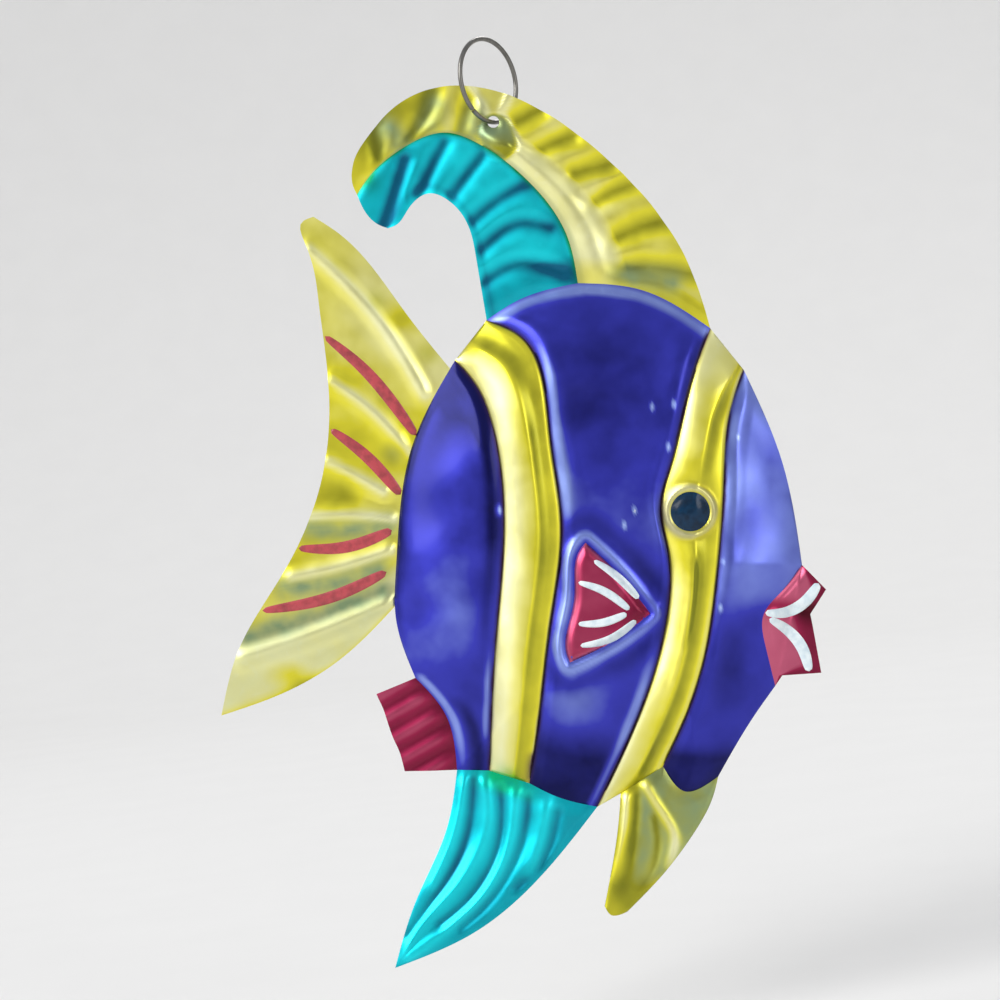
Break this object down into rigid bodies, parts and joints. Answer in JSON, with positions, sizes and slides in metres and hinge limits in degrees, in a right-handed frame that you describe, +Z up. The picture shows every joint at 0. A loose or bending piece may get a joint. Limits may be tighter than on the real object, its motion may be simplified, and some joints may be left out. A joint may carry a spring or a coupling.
{
  "type": "hanging tin fish ornament",
  "caption": "Hanging fish of one cut and embossed tin sheet, lacquered in translucent colours with brushed strokes, swaying on a wire ring through its top fin.",
  "frame": {"origin": "top of the inside of the wire ring, where a hook or nail holds it", "axes": "+Z up, as the fish hangs; -Y out of the painted front; +X towards the fish's nose"},
  "size_m": [0.0916, 0.011, 0.1363],
  "materials": {
    "tinplate": "bright tinplate, embossed, bare on the back",
    "wire": "drawn steel wire",
    "purple_lacquer": "translucent gloss lacquer over tin",
    "yellow_lacquer": "translucent gloss lacquer over tin",
    "teal_lacquer": "translucent gloss lacquer over tin",
    "red_lacquer": "translucent gloss lacquer over tin",
    "red_enamel": "brushed enamel",
    "white_enamel": "brushed enamel",
    "black_enamel": "gloss enamel drop"
  },
  "bodies": {
    "hanger": {"hanging_ring": "wire"},
    "fish": {"tin_sheet": "tinplate", "rear_panel_lacquer": "purple_lacquer", "middle_panel_lacquer": "purple_lacquer", "head_panel_lacquer": "purple_lacquer", "rear_stripe_lacquer": "yellow_lacquer", "front_stripe_lacquer": "yellow_lacquer", "tail_lacquer": "yellow_lacquer", "dorsal_crest_lacquer": "yellow_lacquer", "pelvic_fin_lacquer": "yellow_lacquer", "dorsal_web_lacquer": "teal_lacquer", "anal_fin_lacquer": "teal_lacquer", "vent_tab_lacquer": "red_lacquer", "pectoral_fin_lacquer": "red_lacquer", "mouth_lacquer": "red_lacquer", "eye_dot": "black_enamel", "tail_strokes": "red_enamel", "pectoral_strokes": "white_enamel", "mouth_strokes": "white_enamel"}
  },
  "joints": [
    {"name": "fish_sway", "type": "hinge", "parent": "hanger", "child": "fish", "pos_m": [0, 0, -0.01215], "axis": [0, 1, 0], "range_deg": [-60, 60]}
  ]
}
